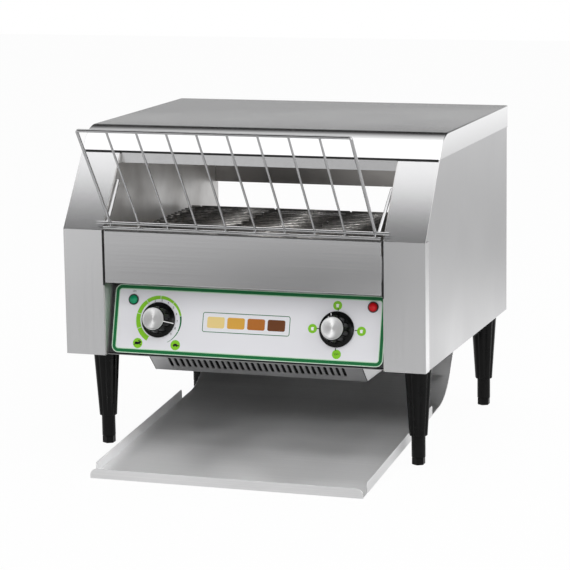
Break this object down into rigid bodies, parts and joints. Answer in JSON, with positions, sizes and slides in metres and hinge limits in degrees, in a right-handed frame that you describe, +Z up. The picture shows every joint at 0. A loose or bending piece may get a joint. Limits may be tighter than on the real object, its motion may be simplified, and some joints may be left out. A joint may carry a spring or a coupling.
{
  "type": "conveyor toaster",
  "caption": "Countertop conveyor toaster: wire belt between shafts, hinged loading rack, slide-out toast tray, control knobs and height-adjustable legs.",
  "frame": {"origin": "middle of the footprint (discharge tray and rear cable gland included) on the surface that the feet stand on", "axes": "+X towards the right of a person who faces the controls, +Y from the controls to the back, +Z up"},
  "size_m": [0.47, 0.5418, 0.4267],
  "materials": {
    "casing_steel": "brushed stainless steel sheet",
    "cover_steel": "satin stainless steel sheet",
    "inner_steel": "stainless steel sheet, heat-stained",
    "aluminised": "bright reflector steel sheet",
    "belt_wire": "oxidised stainless wire",
    "shaft_steel": "turned steel",
    "chain_steel": "oiled steel",
    "rack_wire": "bright stainless wire",
    "tray_steel": "brushed stainless steel sheet",
    "leg_plastic": "black nylon",
    "foot_plastic": "black nylon",
    "knob_plastic": "black phenolic",
    "cap_aluminium": "spun aluminium",
    "overlay": "printed polycarbonate sheet",
    "green_lens": "green lens",
    "red_lens": "red lens",
    "control_case": "black plastic and metal",
    "board": "glass-fibre board",
    "terminal": "pale ceramic-filled plastic",
    "gland": "black nylon",
    "quartz": "quartz tube",
    "ceramic": "steatite ceramic",
    "motor": "painted steel case",
    "fan_plastic": "black plastic",
    "bush": "sintered bronze"
  },
  "bodies": {
    "casing": {"side_panel_left": "casing_steel", "side_panel_right": "casing_steel", "post_cover_left": "casing_steel", "post_cover_right": "casing_steel", "liner_left": "inner_steel", "liner_right": "inner_steel", "top_cover": "cover_steel", "hood_strip": "casing_steel", "chamber_roof": "aluminised", "front_panel": "casing_steel", "base_plate": "casing_steel", "rear_panel": "casing_steel", "rear_chute": "inner_steel", "tray_rest": "casing_steel", "heat_shield": "inner_steel", "vent_box": "casing_steel", "control_panel": "casing_steel", "control_overlay": "overlay", "control_board": "board", "speed_potentiometer": "control_case", "selector_switch": "control_case", "power_lamp": "green_lens", "heating_lamp": "red_lens", "terminal_block": "terminal", "cable_gland": "gland", "upper_heaters": "quartz", "lower_heaters": "quartz", "heater_holders": "ceramic", "lower_reflector": "aluminised", "belt_support_frame": "inner_steel", "belt_upper_run": "belt_wire", "belt_lower_run": "belt_wire", "belt_wraps": "belt_wire", "shaft_bearings": "bush", "gear_motor": "motor", "drive_chain": "chain_steel", "fan_frame": "fan_plastic", "leg_front_left": "leg_plastic", "leg_front_right": "leg_plastic", "leg_rear_left": "leg_plastic", "leg_rear_right": "leg_plastic"},
    "loading_rack": {"loading_rack": "rack_wire"},
    "discharge_tray": {"discharge_tray": "tray_steel"},
    "belt_drive": {"drive_shaft": "shaft_steel", "drive_sprockets": "shaft_steel", "chain_sprocket": "chain_steel"},
    "belt_idler": {"idler_shaft": "shaft_steel", "idler_rollers": "shaft_steel"},
    "motor_output": {"motor_sprocket": "chain_steel"},
    "fan_rotor": {"fan_impeller": "fan_plastic"},
    "speed_control": {"speed_knob": "knob_plastic", "speed_knob_cap": "cap_aluminium", "speed_spindle": "cap_aluminium"},
    "mode_selector": {"selector_knob": "knob_plastic", "selector_knob_cap": "cap_aluminium", "selector_spindle": "cap_aluminium"},
    "foot_front_left": {"foot_front_left": "foot_plastic"},
    "foot_front_right": {"foot_front_right": "foot_plastic"},
    "foot_rear_left": {"foot_rear_left": "foot_plastic"},
    "foot_rear_right": {"foot_rear_right": "foot_plastic"}
  },
  "joints": [
    {"name": "rack_pivot", "type": "hinge", "parent": "casing", "child": "loading_rack", "pos_m": [0, -0.111, 0.34491], "axis": [1, 0, 0], "range_deg": [-120, 0]},
    {"name": "tray_slide", "type": "slide", "parent": "casing", "child": "discharge_tray", "axis": [0, -1, 0], "range_m": [0, 0.15]},
    {"name": "drive_shaft_turn", "type": "hinge", "parent": "casing", "child": "belt_drive", "pos_m": [0, 0.1191, 0.25346], "axis": [-1, 0, 0], "continuous": true, "deforming": ["belt_wraps", "drive_chain"]},
    {"name": "idler_shaft_turn", "type": "hinge", "parent": "casing", "child": "belt_idler", "pos_m": [0, -0.1222, 0.25346], "axis": [-1, 0, 0], "continuous": true},
    {"name": "motor_output_turn", "type": "hinge", "parent": "casing", "child": "motor_output", "pos_m": [0.208, -0.0509, 0.172], "axis": [-1, 0, 0], "continuous": true},
    {"name": "fan_turn", "type": "hinge", "parent": "casing", "child": "fan_rotor", "pos_m": [-0.1817, -0.0509, 0.172], "axis": [1, 0, 0], "continuous": true},
    {"name": "speed_knob_turn", "type": "hinge", "parent": "casing", "child": "speed_control", "pos_m": [-0.117, -0.14075, 0.174], "axis": [0, -0.9636, 0.2672], "range_deg": [-42, 242]},
    {"name": "selector_knob_turn", "type": "hinge", "parent": "casing", "child": "mode_selector", "pos_m": [0.117, -0.14075, 0.174], "axis": [0, -0.9636, 0.2672], "range_deg": [-113, 157]},
    {"name": "foot_front_left_height", "type": "slide", "parent": "casing", "child": "foot_front_left", "axis": [0, 0, -1], "range_m": [-0.025, 0.02]},
    {"name": "foot_front_right_height", "type": "slide", "parent": "casing", "child": "foot_front_right", "axis": [0, 0, -1], "range_m": [-0.025, 0.02]},
    {"name": "foot_rear_left_height", "type": "slide", "parent": "casing", "child": "foot_rear_left", "axis": [0, 0, -1], "range_m": [-0.025, 0.02]},
    {"name": "foot_rear_right_height", "type": "slide", "parent": "casing", "child": "foot_rear_right", "axis": [0, 0, -1], "range_m": [-0.025, 0.02]}
  ],
  "couplings": [
    {"joint": "idler_shaft_turn", "follows": "drive_shaft_turn", "ratio": 1},
    {"joint": "motor_output_turn", "follows": "drive_shaft_turn", "ratio": 2}
  ]
}
